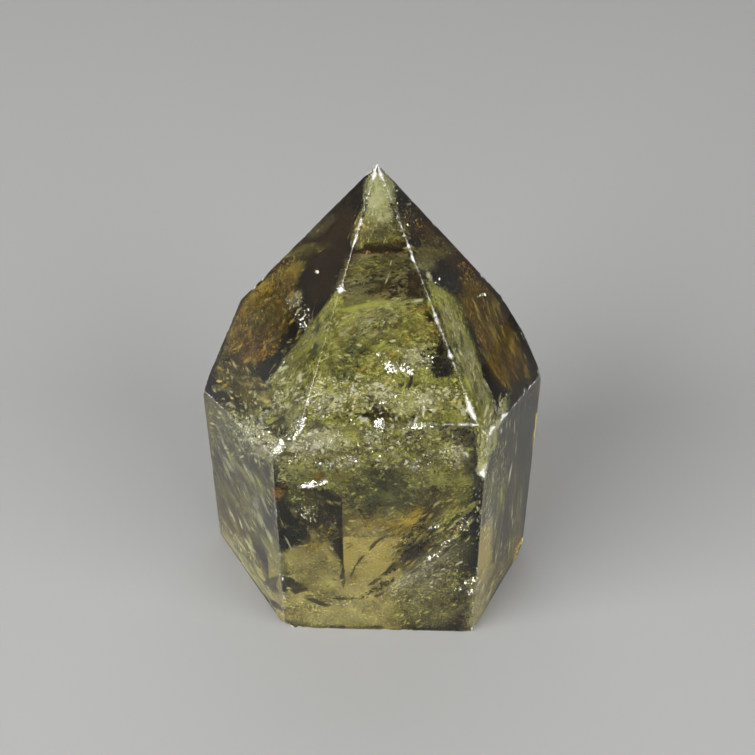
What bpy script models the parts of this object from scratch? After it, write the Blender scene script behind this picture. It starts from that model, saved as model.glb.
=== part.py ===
"""Citrine crystal point: a six-sided polished prism that ends in a six-faced pyramid, cut flat to stand on.

One natural piece, so one object. Every face is a flat cut through a block, placed by the corners of the
base outline, the apex, and the heights of each pyramid face over its two corners. Units are metres, +Z up,
front to -Y. The origin is the middle of the flat base.
"""

import bmesh
import bpy
from mathutils import Vector

MM = 0.001
UP = Vector((0.0, 0.0, 1.0))

# The apex, where all the pyramid faces meet: across, back, up.
APEX = Vector((0.9, 0.25, 52.0)) * MM

# The corners of the base outline in order. The side towards the back is a short one.
CORNERS = {
    "left": Vector((-18.8, 0.75, 0.0)) * MM,
    "front_left": Vector((-9.7, -14.15, 0.0)) * MM,
    "front_right": Vector((11.8, -14.75, 0.0)) * MM,
    "right": Vector((18.8, -1.65, 0.0)) * MM,
    "back_right": Vector((4.5, 14.75, 0.0)) * MM,
    "back_left": Vector((-3.0, 14.65, 0.0)) * MM,
}

# The heights at which each pyramid face passes over the two corners of its side of the prism. Neighbouring
# faces pass a corner at different heights, so the shoulder line is broken there by a short slanting edge.
PYRAMID_HEIGHTS = {
    ("left", "front_left"): (23.3 * MM, 26.9 * MM),
    ("front_left", "front_right"): (31.4 * MM, 31.4 * MM),
    ("front_right", "right"): (30.0 * MM, 27.4 * MM),
    ("right", "back_right"): (33.4 * MM, 34.2 * MM),
    ("back_right", "back_left"): (32.0 * MM, 32.0 * MM),
    ("back_left", "left"): (31.8 * MM, 33.1 * MM),
}

# Where the upright edges at the left and right end, and where the two right pyramid faces meet the prism.
LEFT_SHOULDER = CORNERS["left"] + UP * PYRAMID_HEIGHTS["left", "front_left"][0]
RIGHT_SHOULDER = CORNERS["right"] + UP * PYRAMID_HEIGHTS["front_right", "right"][1]
BACK_SHOULDER = Vector((15.55, 2.1, 33.6)) * MM

# Broken or worn corners, each a small flat cut: the corner, the way the cut faces, and its depth.
CHIPS = (
    (APEX, Vector((-0.25, -0.55, 1.0)), 0.2 * MM),
    (BACK_SHOULDER, Vector((0.83, 0.345, 0.44)), 0.5 * MM),
    (RIGHT_SHOULDER, Vector((1.0, -0.13, 0.34)), 0.2 * MM),
    (LEFT_SHOULDER, Vector((-1.0, 0.0, 0.34)), 0.2 * MM),
    (CORNERS["front_left"], Vector((-0.6, -1.0, -0.65)), 0.45 * MM),
    (CORNERS["right"], Vector((1.0, -0.17, -0.53)), 0.4 * MM),
)

EDGE_WEAR = 0.22 * MM  # the polished edges are slightly rounded
EDGE_STEPS = 2
BLOCK_MARGIN = 4 * MM  # spare height of the block before the pyramid is cut
SAME_PLACE = 0.001 * MM  # points closer than this are one point

CITRINE_COLOUR = (0.42, 0.33, 0.09, 1.0)
CITRINE_ROUGHNESS = 0.06
QUARTZ_IOR = 1.544


def clear_scene():
    for item in list(bpy.data.objects):
        bpy.data.objects.remove(item, do_unlink=True)


def upright_block():
    """The prism: the base outline pulled up past the apex."""
    block = bmesh.new()
    outline = [block.verts.new(corner) for corner in CORNERS.values()]
    base = block.faces.new(outline)
    raised = bmesh.ops.extrude_face_region(block, geom=[base])
    top = [item for item in raised["geom"] if isinstance(item, bmesh.types.BMVert)]
    bmesh.ops.translate(block, verts=top, vec=UP * (APEX.z + BLOCK_MARGIN))
    bmesh.ops.recalc_face_normals(block, faces=block.faces)
    return block


def cut(body, point, facing):
    """Takes off what lies on the facing side of a plane, and closes the cut with one flat face."""
    parts = body.verts[:] + body.edges[:] + body.faces[:]
    sliced = bmesh.ops.bisect_plane(
        body, geom=parts, dist=SAME_PLACE, plane_co=point, plane_no=facing, clear_outer=True
    )
    rim = [item for item in sliced["geom_cut"] if isinstance(item, bmesh.types.BMEdge)]
    bmesh.ops.holes_fill(body, edges=rim, sides=0)


def cut_pyramid_face(body, first, second):
    """One sloping face through the apex and two points lower down."""
    facing = (first - APEX).cross(second - APEX)
    outward = (first + second) / 2 - APEX
    if facing.x * outward.x + facing.y * outward.y < 0:
        facing.negate()
    cut(body, APEX, facing.normalized())


def cut_pyramid(body):
    for names, heights in PYRAMID_HEIGHTS.items():
        first, second = (CORNERS[name] + UP * height for name, height in zip(names, heights))
        cut_pyramid_face(body, first, second)


def chip_corners(body):
    """Breaks single corners away with flat cuts."""
    for corner, facing, depth in CHIPS:
        facing = facing.normalized()
        cut(body, corner - facing * depth, facing)


def citrine():
    material = bpy.data.materials.new("citrine")
    material.use_nodes = True
    shader = material.node_tree.nodes["Principled BSDF"]
    shader.inputs["Base Color"].default_value = CITRINE_COLOUR
    shader.inputs["Roughness"].default_value = CITRINE_ROUGHNESS
    shader.inputs["Metallic"].default_value = 0.0
    shader.inputs["IOR"].default_value = QUARTZ_IOR
    shader.inputs["Transmission Weight"].default_value = 1.0
    return material


def add_edge_wear(crystal):
    wear = crystal.modifiers.new("edge_wear", "BEVEL")
    wear.width = EDGE_WEAR
    wear.segments = EDGE_STEPS
    wear.limit_method = "NONE"
    wear.use_clamp_overlap = True


def build_crystal():
    body = upright_block()
    cut_pyramid(body)
    chip_corners(body)
    bmesh.ops.recalc_face_normals(body, faces=body.faces)

    mesh = bpy.data.meshes.new("citrine_point")
    body.to_mesh(mesh)
    body.free()
    mesh.materials.append(citrine())

    crystal = bpy.data.objects.new("citrine_point", mesh)
    bpy.context.scene.collection.objects.link(crystal)
    add_edge_wear(crystal)


clear_scene()
build_crystal()
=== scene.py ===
"""Looks of the citrine crystal point: polished smoky quartz with worn edges, full of veils and fractures.

The solid comes from the frame. Lengths are in metres, +Z is up, and the crystal's front face looks to -Y.
Inclusions that are known from the photograph are placed by pixel: a pixel's line of sight is bent at the
polished face it meets, and the inclusion lies on the bent line, a stated depth inside the crystal. Some of
these patches are not inclusions but painted shade and painted reflected light.
"""

import itertools
import math

import bpy
import numpy as np
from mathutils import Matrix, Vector


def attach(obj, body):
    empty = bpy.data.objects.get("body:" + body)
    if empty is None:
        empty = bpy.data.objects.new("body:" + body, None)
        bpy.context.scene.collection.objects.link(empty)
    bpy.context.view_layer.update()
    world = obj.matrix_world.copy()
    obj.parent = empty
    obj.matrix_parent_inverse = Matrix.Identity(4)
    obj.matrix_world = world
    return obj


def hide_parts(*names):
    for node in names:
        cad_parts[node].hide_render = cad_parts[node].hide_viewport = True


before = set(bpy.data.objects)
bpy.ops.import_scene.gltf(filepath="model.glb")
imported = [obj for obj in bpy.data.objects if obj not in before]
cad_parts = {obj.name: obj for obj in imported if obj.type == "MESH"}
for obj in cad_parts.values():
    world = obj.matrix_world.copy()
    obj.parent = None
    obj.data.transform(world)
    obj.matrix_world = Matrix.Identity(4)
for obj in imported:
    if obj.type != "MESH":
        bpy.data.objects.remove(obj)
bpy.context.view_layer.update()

MM = 0.001
NODE = "citrine_point"
QUARTZ_IOR = 1.544

# The camera of the photograph: where it stands, how far it looks down, and its lens in pixels of the frame.
IMAGE_SIZE = 755
CAMERA_PLACE = np.array([0.92, -100.09, 105.41]) * MM
CAMERA_DOWN = math.radians(38.565)
CAMERA_LENS_PX = 1153.15
PIXEL = 0.115 * MM


# ---------------------------------------------------------------- noise

def value_noise(points, size, seed):
    """Smooth noise from 0 to 1 at each point, with lumps about size across."""
    q = points / size + seed * 17.31
    cell = np.floor(q).astype(np.int64)
    f = q - cell
    f = f * f * (3 - 2 * f)
    total = np.zeros(len(points))
    for dx, dy, dz in itertools.product((0, 1), repeat=3):
        c = cell + (dx, dy, dz)
        h = c[:, 0] * 374761393 + c[:, 1] * 668265263 + c[:, 2] * 2147483647 + seed * 974634777
        h = h & 0xFFFFFFFF
        h = ((h ^ (h >> 13)) * 1274126177) & 0xFFFFFFFF
        h = (h ^ (h >> 16)) & 0xFFFF
        wx = f[:, 0] if dx else 1 - f[:, 0]
        wy = f[:, 1] if dy else 1 - f[:, 1]
        wz = f[:, 2] if dz else 1 - f[:, 2]
        total += wx * wy * wz * h / 65535.0
    return total


def fractal(points, size, seed, octaves=4):
    """Value noise summed over octaves, from 0 to 1 around a mean of 0.5."""
    total, weight, norm = 0, 1.0, 0.0
    for k in range(octaves):
        total = total + weight * value_noise(points, size / 2 ** k, seed + k)
        norm += weight
        weight *= 0.55
    return total / norm


def unit(v):
    return v / np.linalg.norm(v, axis=-1, keepdims=True)


# ---------------------------------------------------------------- the crystal's planes

SAME_WAY, SAME_DISTANCE = 0.9999, 0.03 * MM  # polygons of one flat face agree to this
NARROWEST_FACE, NARROWEST_LARGE_FACE = 0.2 * MM, 0.5 * MM


def flat_faces():
    """The solid's flat faces: outward normals, distances from the origin, and whether each is large."""
    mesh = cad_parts[NODE].data
    found = []
    for polygon in mesh.polygons:
        n = np.array(polygon.normal)
        corners = np.array([mesh.vertices[i].co for i in polygon.vertices])
        d = float(n @ corners.mean(0))
        for group in found:
            if group["n"] @ n > SAME_WAY and abs(group["d"] - d) < SAME_DISTANCE:
                group["area"] += polygon.area
                group["points"].append(corners)
                break
        else:
            found.append({"n": n, "d": d, "area": polygon.area, "points": [corners]})
    normals, distances, large = [], [], []
    for group in found:
        points = np.concatenate(group["points"])
        reach = np.linalg.norm(points.max(0) - points.min(0))
        width = group["area"] / reach
        if width > NARROWEST_FACE:
            normals.append(group["n"])
            distances.append(group["d"])
            large.append(width > NARROWEST_LARGE_FACE)
    return np.array(normals), np.array(distances), np.array(large)


ALL_NORMALS, ALL_DISTANCES, LARGE = flat_faces()
NORMALS, DISTANCES = ALL_NORMALS[LARGE], ALL_DISTANCES[LARGE]


def depth_inside(points):
    """How far each point lies under the nearest face; negative outside."""
    return (DISTANCES - points @ NORMALS.T).min(1)


def sight(x, y):
    """For pixels of the photograph: where the line of sight enters, its bent direction, its length inside,
    and the outward normal of the face it enters by."""
    u = np.atleast_1d(np.asarray(x, float)) - IMAGE_SIZE / 2
    v = np.atleast_1d(np.asarray(y, float)) - IMAGE_SIZE / 2
    s, c = math.sin(CAMERA_DOWN), math.cos(CAMERA_DOWN)
    ray = unit(np.stack([u, CAMERA_LENS_PX * c - v * s, -CAMERA_LENS_PX * s - v * c], 1))
    slope = ray @ NORMALS.T
    reach = (DISTANCES - NORMALS @ CAMERA_PLACE) / slope
    reach = np.where(slope < 0, reach, -np.inf)
    face = reach.argmax(1)
    entry = CAMERA_PLACE + ray * reach[np.arange(len(ray)), face][:, None]
    n = NORMALS[face]
    cosine = -(ray * n).sum(1, keepdims=True)
    eta = 1 / QUARTZ_IOR
    inner = eta * ray + (eta * cosine - np.sqrt(1 - eta ** 2 * (1 - cosine ** 2))) * n
    away = inner @ NORMALS.T
    room = (DISTANCES - entry @ NORMALS.T) / np.where(away > 1e-6, away, 1e-6)
    return entry, inner, np.where(away > 1e-6, room, np.inf).min(1), n


def sight_plane(first, second):
    """The plane that holds the bent sight lines of two pixels, facing up."""
    (a, b), rays, _, _ = sight(*zip(first, second))
    n = unit(np.cross(rays[0], b - a))
    n = n if n[2] > 0 else -n
    return n, n @ a


# ---------------------------------------------------------------- materials

ABSORPTION, PASSED_COLOUR = 90, (0.667, 0.589, 0.111, 1)  # smoky yellow, the deeper the darker
WORN_COLOUR, WORN_ROUGHNESS, WORN_CLEARNESS = (0.86, 0.85, 0.76, 1), 0.45, 0.25
GRAIN_SCALE, GRAIN_GAIN = 6000, (0.75, 1.25)
WISP_SCALE, WISP_DETAIL, WISP_NOISE, WISP_GAIN = 2200, 4, (0.38, 0.62), (0.25, 1.5)


def new_material(name):
    m = bpy.data.materials.new(name)
    m.use_nodes = True
    return m, m.node_tree, m.node_tree.nodes["Principled BSDF"]


def attribute(tree, name):
    node = tree.nodes.new("ShaderNodeAttribute")
    node.attribute_name = name
    return node


def rescaled(tree, source, wanted, given=(0, 1)):
    """A value mapped from a given range to a wanted one."""
    node = tree.nodes.new("ShaderNodeMapRange")
    node.inputs["From Min"].default_value, node.inputs["From Max"].default_value = given
    node.inputs["To Min"].default_value, node.inputs["To Max"].default_value = wanted
    tree.links.new(source, node.inputs["Value"])
    return node.outputs[0]


def citrine_material():
    """Clear polished quartz that the worn edges turn frosty, with the smoky yellow of its depth."""
    m, tree, shader = new_material("citrine")
    wear = attribute(tree, "wear").outputs["Fac"]
    tree.links.new(rescaled(tree, wear, (0, WORN_ROUGHNESS)), shader.inputs["Roughness"])
    tree.links.new(rescaled(tree, wear, (1, WORN_CLEARNESS)), shader.inputs["Transmission Weight"])
    mix = tree.nodes.new("ShaderNodeMix")
    mix.data_type = "RGBA"
    mix.inputs["A"].default_value = (1, 1, 1, 1)
    mix.inputs["B"].default_value = WORN_COLOUR
    tree.links.new(wear, mix.inputs["Factor"])
    tree.links.new(mix.outputs["Result"], shader.inputs["Base Color"])
    shader.inputs["IOR"].default_value = QUARTZ_IOR
    volume = tree.nodes.new("ShaderNodeVolumeAbsorption")
    volume.inputs["Color"].default_value = PASSED_COLOUR
    volume.inputs["Density"].default_value = ABSORPTION
    tree.links.new(volume.outputs[0], tree.nodes["Material Output"].inputs["Volume"])
    return m


def flake_material(name, roughness, metallic=0.0, sheer=False):
    """The finish of inclusions, each tinted by itself; a sheer one thins out by its "thickness"."""
    m, tree, shader = new_material(name)
    grain = tree.nodes.new("ShaderNodeTexNoise")
    grain.inputs["Scale"].default_value = GRAIN_SCALE
    mix = tree.nodes.new("ShaderNodeMix")
    mix.data_type = "RGBA"
    mix.blend_type = "MULTIPLY"
    mix.inputs["Factor"].default_value = 1
    tree.links.new(attribute(tree, "tint").outputs["Color"], mix.inputs["A"])
    tree.links.new(rescaled(tree, grain.outputs["Fac"], GRAIN_GAIN), mix.inputs["B"])
    tree.links.new(mix.outputs["Result"], shader.inputs["Base Color"])
    shader.inputs["Roughness"].default_value = roughness
    shader.inputs["Metallic"].default_value = metallic
    shader.inputs["Specular IOR Level"].default_value = 0  # inclusions lie in quartz, so they have no sheen
    if sheer:
        wisps = tree.nodes.new("ShaderNodeTexNoise")
        wisps.inputs["Scale"].default_value = WISP_SCALE
        wisps.inputs["Detail"].default_value = WISP_DETAIL
        alpha = tree.nodes.new("ShaderNodeMath")
        alpha.operation = "MULTIPLY"
        alpha.use_clamp = True
        tree.links.new(attribute(tree, "thickness").outputs["Fac"], alpha.inputs[0])
        tree.links.new(rescaled(tree, wisps.outputs["Fac"], WISP_GAIN, WISP_NOISE), alpha.inputs[1])
        tree.links.new(alpha.outputs[0], shader.inputs["Alpha"])
    return m


# ---------------------------------------------------------------- meshes

FLAKES_PER_PIECE = 49000
BRIGHTEST_TINT = 0.97


def mesh_piece(name, vertices, polygons, material, **attributes):
    """A mesh object on the crystal's body, from vertices, lists of vertex numbers, and values or tints of
    each vertex."""
    mesh = bpy.data.meshes.new(name)
    counts = np.array([len(p) for p in polygons])
    mesh.vertices.add(len(vertices))
    mesh.vertices.foreach_set("co", np.asarray(vertices, np.float32).ravel())
    mesh.loops.add(int(counts.sum()))
    mesh.loops.foreach_set("vertex_index", np.concatenate(polygons).astype(np.int32))
    mesh.polygons.add(len(polygons))
    mesh.polygons.foreach_set("loop_start", (np.cumsum(counts) - counts).astype(np.int32))
    mesh.polygons.foreach_set("use_smooth", np.zeros(len(polygons), bool))
    mesh.update(calc_edges=True)
    for key, values in attributes.items():
        if values.ndim == 2:
            opaque = np.concatenate([values.clip(0, BRIGHTEST_TINT), np.ones((len(values), 1))], 1)
            data = mesh.attributes.new(key, "FLOAT_COLOR", "POINT").data
            data.foreach_set("color", opaque.astype(np.float32).ravel())
        else:
            data = mesh.attributes.new(key, "FLOAT", "POINT").data
            data.foreach_set("value", values.astype(np.float32))
    mesh.materials.append(material)
    piece = bpy.data.objects.new(name, mesh)
    bpy.context.scene.collection.objects.link(piece)
    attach(piece, "root")
    return piece


class Shoal:
    """Flakes gathered under one name: closed four-cornered shards, each facing roughly its own way, and
    stretched along a direction."""

    def __init__(self, name, material, thin, loose, seed):
        self.name, self.material, self.thin, self.loose = name, material, thin, loose
        self.rng = np.random.default_rng(seed)
        self.batches = []

    def add(self, points, facings, sizes, tints, along=(0.0, 0.0, 0.0), stretch=1.0):
        n = len(points)
        self.batches.append((points, facings, sizes, tints, np.tile(along, (n, 1)), np.full(n, stretch)))

    def build(self):
        gathered = [np.concatenate(part) for part in zip(*self.batches)]
        points, _, sizes, _, _, stretches = gathered
        keep = np.where(depth_inside(points) > 1.1 * sizes * stretches)[0]
        for k, part in enumerate(np.array_split(keep, math.ceil(len(keep) / FLAKES_PER_PIECE))):
            self.build_piece(f"{self.name}_{k + 1}", *(values[part] for values in gathered))

    def build_piece(self, name, points, facings, sizes, tints, along, stretch):
        rng, n = self.rng, len(points)
        up = unit(facings + rng.normal(size=(n, 3)) * self.loose)
        third = unit(np.cross(up, along + rng.normal(size=(n, 3)) * 0.12))
        side = np.cross(third, up) * stretch[:, None]
        corners = np.zeros((n, 4, 3))
        for k in range(4):
            angle = math.pi / 2 * k + rng.uniform(-0.6, 0.6, n)
            r = sizes * rng.uniform(0.5, 1.25, n) / 2
            lift = sizes * self.thin * (1 if k % 2 else -1) / 2
            level = side * (np.cos(angle) * r)[:, None]
            upward = third * (np.sin(angle) * r)[:, None]
            corners[:, k] = points + level + upward + up * lift[:, None]
        shard = np.array([(0, 1, 3), (1, 2, 3), (0, 2, 1), (0, 3, 2)])
        faces = (np.arange(n)[:, None, None] * 4 + shard).reshape(-1, 3)
        mesh_piece(name, corners.reshape(-1, 3), faces, self.material, tint=np.repeat(tints, 4, 0))


# ---------------------------------------------------------------- the polished body with worn edges

EDGE_STEP = 0.12 * MM
EDGE_WIDTH = 0.09 * MM
EDGE_SHARE = 0.3  # the most of an edge's length that its wear is wide
UPRIGHT_WEAR = 0.5  # the upright edges are less worn
WEAR_LUMP, NICK_LUMP, PIT_LUMP, FROST_LUMP = 0.9 * MM, 1.3 * MM, 0.3 * MM, 0.35 * MM
CORNER_PULL, CORNER_WEAR = 0.10 * MM, 0.8
SAME_CORNER, ON_FACE = 0.12 * MM, 0.10 * MM  # nearer corners are one, and nearer ones are on a face
PARALLEL, OUTSIDE = 1e-3, 0.01 * MM

# Chips that catch the light: pixel, how far the chip reaches along the edge and into the faces, in mm.
CHIPS = (
    ((339, 289), 0.45, 0.55),
    ((377, 165), 1.2, 0.35),
    ((470, 412), 1.1, 0.45),
    ((484, 473), 0.6, 0.75),
    ((492, 432), 0.9, 0.4),
    ((503, 416), 0.7, 0.35),
    ((452, 356), 0.4, 0.3),
    ((436, 318), 0.5, 0.25),
    ((410, 245), 0.4, 0.25),
    ((279, 448), 0.8, 0.35),
    ((474, 628), 0.6, 0.3),
    ((300, 627), 1.0, 0.3),
)

# Stretches of edge that are still clean: their two end pixels.
CLEAN_STRETCHES = (((337, 298), (283, 440)), ((312, 424), (392, 426)))


def cleanness(points):
    """From 0 to 1, how much of the wear is missing at points near the clean stretches."""
    clean = np.zeros(len(points))
    for ends in CLEAN_STRETCHES:
        a, b = sight(*zip(*ends))[0]
        t = np.clip((points - a) @ (b - a) / ((b - a) @ (b - a)), 0, 1)
        gap = np.linalg.norm(points - a - t[:, None] * (b - a), axis=1)
        clean = np.maximum(clean, np.clip(1.6 - gap / MM, 0, 1))
    return clean


def polyhedron():
    """Corner points of the planes, and each face's corners in order as seen from outside."""
    corners = []
    for triple in itertools.combinations(range(len(ALL_NORMALS)), 3):
        m = ALL_NORMALS[list(triple)]
        if abs(np.linalg.det(m)) < PARALLEL:
            continue
        p = np.linalg.solve(m, ALL_DISTANCES[list(triple)])
        if (ALL_NORMALS @ p - ALL_DISTANCES).max() > OUTSIDE:
            continue
        if all(np.linalg.norm(p - q) > SAME_CORNER for q in corners):
            corners.append(p)
    corners = np.array(corners)
    loops = []
    for n, d in zip(ALL_NORMALS, ALL_DISTANCES):
        on = np.where(abs(corners @ n - d) < ON_FACE)[0]
        middle = corners[on].mean(0)
        across = unit(corners[on[0]] - middle)
        upward = np.cross(n, across)
        angles = np.arctan2((corners[on] - middle) @ upward, (corners[on] - middle) @ across)
        loops.append([int(i) for i in on[np.argsort(angles)]])
    return corners, loops


def chip_bite(points):
    """How far the chips reach into a face at points along an edge, in metres."""
    bite = np.zeros(len(points))
    for pixel, reach, width in CHIPS:
        away = np.linalg.norm(points - sight(*pixel)[0], axis=1)
        bite += width * MM * np.exp(-(away / (reach * MM)) ** 2)
    return bite


class WornBody:
    """The crystal's faces joined along worn edges: each edge has a row of points on either face, and between
    the two rows a rough ridge a little under the sharp edge."""

    def __init__(self):
        self.corners, self.loops = polyhedron()
        self.faces_at = [[f for f, loop in enumerate(self.loops) if i in loop]
                         for i in range(len(self.corners))]
        self.edges = [(f, a, b) for f, loop in enumerate(self.loops)
                      for a, b in zip(loop, loop[1:] + loop[:1])]
        self.vertices, self.wear = [], []

    def vertex(self, p, wear):
        self.vertices.append(p)
        self.wear.append(wear)
        return len(self.vertices) - 1

    def other_face(self, f, a, b):
        """The face on the other side of an edge."""
        return next(g for g in self.faces_at[a] if g != f and b in self.loops[g])

    def drawn_in_corner(self, i):
        pull = unit(ALL_NORMALS[self.faces_at[i]].mean(0)) * CORNER_PULL
        return self.vertex(self.corners[i] - pull, CORNER_WEAR)

    def inner_corner(self, f, before, i, after):
        """A face's own corner, as far inside as its two edges are worn."""
        to_before, to_after = self.corners[before] - self.corners[i], self.corners[after] - self.corners[i]
        short = min(np.linalg.norm(to_before), np.linalg.norm(to_after))
        u, w = unit(to_before), unit(to_after)
        sine = max(np.linalg.norm(np.cross(u, w)), 0.2)
        p = self.corners[i] + (u + w) * min(EDGE_WIDTH / sine, EDGE_SHARE * short)
        return self.vertex(p - (ALL_NORMALS[f] @ p - ALL_DISTANCES[f]) * ALL_NORMALS[f], 0.0)

    def worn_width(self, line, f, upright):
        """How wide the wear is on one face at points along an edge, with its nicks, pits and chips."""
        usual = EDGE_WIDTH * (UPRIGHT_WEAR if upright else 1)
        width = usual * (0.35 + 1.3 * fractal(line, WEAR_LUMP, 40 + f, 4))
        width = width * (1 - 0.6 * cleanness(line))
        nick = np.clip(fractal(line, NICK_LUMP, 80 + f, 3) - 0.63, 0, 1) * 1.6 * MM
        nick += np.clip(value_noise(line, PIT_LUMP, 120 + f) - 0.78, 0, 1) * 0.9 * MM
        return width + nick + chip_bite(line) * (0.4 + 1.2 * value_noise(line, 0.5 * MM, 160 + f))

    def row(self, f, a, b, first, last):
        """The points of a face along one edge, between its own two corners there."""
        pa, pb = self.corners[a], self.corners[b]
        length = np.linalg.norm(pb - pa)
        count = max(2, round(length / EDGE_STEP))
        t = np.arange(1, count) / count
        # Both faces read the same points along the edge, in the same order.
        low, high = self.corners[min(a, b)], self.corners[max(a, b)]
        line = low + (high - low) * (t if a < b else t[::-1])[:, None]
        fade = np.minimum(1, np.minimum(t, 1 - t) * length / (0.5 * MM))
        inward = unit(np.cross(ALL_NORMALS[f], pb - pa))
        upright = abs(ALL_NORMALS[[f, self.other_face(f, a, b)], 2]).max() < 0.1
        extra = (np.minimum(self.worn_width(line, f, upright), EDGE_SHARE * length) - EDGE_WIDTH) * fade
        start, end = self.vertices[first], self.vertices[last]
        row = start + (end - start) * t[:, None] + inward * extra[:, None]
        return row - (row @ ALL_NORMALS[f] - ALL_DISTANCES[f])[:, None] * ALL_NORMALS[f]

    def ridge(self, a, b, row, row_g):
        """The frosty points between the two rows of an edge."""
        t = np.arange(1, len(row) + 1) / (len(row) + 1)
        line = self.corners[a] + (self.corners[b] - self.corners[a]) * t[:, None]
        middle = (row + row_g) / 2
        wide = np.linalg.norm(row - row_g, axis=1)
        bulge = np.clip(0.62 - wide / (1.1 * MM), -0.05, 0.6)
        bulge = bulge * (0.7 + 0.6 * value_noise(line, PIT_LUMP, 210))
        ridge = middle + (line - middle) * bulge[:, None]
        ridge = ridge + (value_noise(line, 0.13 * MM, 250) - 0.5)[:, None] * (middle - line) * 0.5
        frost = 2.6 * (fractal(line, FROST_LUMP, 230, 3) - 0.42) + wide / (0.5 * MM) - 0.35
        frost = frost - 0.75 * cleanness(line)
        return [self.vertex(p, w) for p, w in zip(ridge, frost.clip(0.02, 1))]

    def build(self):
        drawn_in = [self.drawn_in_corner(i) for i in range(len(self.corners))]
        inner = {}
        for f, loop in enumerate(self.loops):
            for before, i, after in zip(loop[-1:] + loop[:-1], loop, loop[1:] + loop[:1]):
                inner[f, i] = self.inner_corner(f, before, i, after)
        rows, numbers = {}, {}
        for f, a, b in self.edges:
            rows[f, a, b] = self.row(f, a, b, inner[f, a], inner[f, b])
            numbers[f, a, b] = [inner[f, a], *(self.vertex(p, 0.0) for p in rows[f, a, b]), inner[f, b]]
        ridges = {}
        for f, a, b in self.edges:
            if a < b:
                other = rows[self.other_face(f, a, b), b, a][::-1]
                ridges[a, b] = [drawn_in[a], *self.ridge(a, b, rows[f, a, b], other), drawn_in[b]]
        polygons = []
        for f, a, b in self.edges:
            ridge, own = ridges[a, b] if a < b else ridges[b, a][::-1], numbers[f, a, b]
            polygons += [[ridge[k], ridge[k + 1], own[k + 1], own[k]] for k in range(len(own) - 1)]
        for f, loop in enumerate(self.loops):
            polygons.append([i for a, b in zip(loop, loop[1:] + loop[:1]) for i in numbers[f, a, b][:-1]])
        body = mesh_piece("citrine_body", np.array(self.vertices), polygons, citrine_material(),
                          wear=np.array(self.wear))
        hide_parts(NODE)


# ---------------------------------------------------------------- the cloudy core

# Pairs of pixels whose bent sight lines span the planes that bound the cloud.
CLOUD_TOP = ((343, 303), (430, 303))
CLOUD_LEFT = ((339, 289), (270, 381))
CLOUD_RIGHT = ((455, 310), (505, 425))
CLOUD_FOOT = ((285, 487), (470, 487))

CLOUD_TINT = np.array([0.56, 0.56, 0.24])
CLOUD_PALE = np.array([0.80, 0.80, 0.50])
CLOUD_DARK = np.array([0.24, 0.19, 0.07])
CLOUD_COVER = 0.5 * MM  # the clear quartz over the cloud
CLOUD_DEPTH = 5 * MM  # how deep the cloud is made
CLOUD_FLAKE = 0.36 * MM
CLOUD_STRETCHES = ((1, 1, 1), (1.3, 1, 0.7), (0.8, 1.2, 1), (1, 0.7, 1.3))
CLOUD_TRIES = 110000
CLOUD_BOX = np.array([(-19, -16, 0), (19, 16, 34)]) * MM  # where the cloud's sheets are looked for
CLOUD_FOLD, CLOUD_GAP = 9 * MM, 4 * MM  # the sizes of its folds and of the gaps in it


def cloud_room(points, ragged):
    """How deep each point lies in the cloud's region, in metres, with a ragged edge."""
    room = depth_inside(points) - CLOUD_COVER
    wobble = (fractal(points, 5 * MM, 77, 3) - 0.5) * 2 * ragged * MM
    for pair in (CLOUD_TOP, CLOUD_RIGHT):
        n, d = sight_plane(*pair)
        room = np.minimum(room, d - points @ n + wobble)
    n, d = sight_plane(*CLOUD_LEFT)
    room = np.minimum(room, d - points @ n)
    n, d = sight_plane(*CLOUD_FOOT)
    return np.minimum(room, points @ n - d + 2 * wobble)


def cloud_tint(points, rng):
    """Olive, going pale in wisps and brown in pockets."""
    tone = fractal(points, 2.2 * MM, 11, 4)
    pale = np.clip((tone - 0.52) / 0.16, 0, 1)[:, None]
    dark = np.clip((0.44 - tone) / 0.14, 0, 1)[:, None]
    tint = CLOUD_TINT + (CLOUD_PALE - CLOUD_TINT) * pale + (CLOUD_DARK - CLOUD_TINT) * dark
    return tint * rng.uniform(0.8, 1.08, (len(points), 1))


def sheets(count, size, seed, stretch, rng):
    """Points on curved sheets all through the cloud's box, with the way each sheet faces."""
    p = rng.uniform(*CLOUD_BOX, (count, 3))
    h = 0.02 * size
    for _ in range(3):
        base = value_noise(p * stretch, size, seed)
        ahead = [value_noise((p + h * axis) * stretch, size, seed) for axis in np.eye(3)]
        slope = np.stack([value - base for value in ahead], 1) / h
        steep = (slope ** 2).sum(1)
        step = ((base - 0.5) / np.maximum(steep, (0.15 / size) ** 2))[:, None] * slope
        p = p - step.clip(-0.5 * size, 0.5 * size)
    return p, unit(slope + 1e-9)


def add_cloud():
    """The body of the cloud: crowded curved veils, seen behind the finer ones that are placed by pixel."""
    rng = np.random.default_rng(5)
    shoal = Shoal("cloud", flake_material("veil", 0.55), 0.12, 0.5, 1)
    for k, stretch in enumerate(CLOUD_STRETCHES):
        p, facing = sheets(CLOUD_TRIES, CLOUD_FOLD, 300 + k, np.array(stretch), rng)
        patchy = fractal(p, CLOUD_GAP, 400 + k, 2)
        room = cloud_room(p, 1.5)
        keep = (room > 0.6 * MM) & (room < CLOUD_DEPTH) & (patchy + 0.2 * rng.uniform(-1, 1, len(p)) > 0.45)
        p, facing = p[keep], facing[keep]
        p = p + facing * rng.normal(0, 0.2 * MM, (len(p), 1))
        sizes = rng.lognormal(math.log(CLOUD_FLAKE / MM), 0.35, len(p)) * MM
        shoal.add(p, facing, sizes, cloud_tint(p, rng))
    shoal.build()


# ---------------------------------------------------------------- inclusions, painted shade and painted light, placed by pixel

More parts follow.
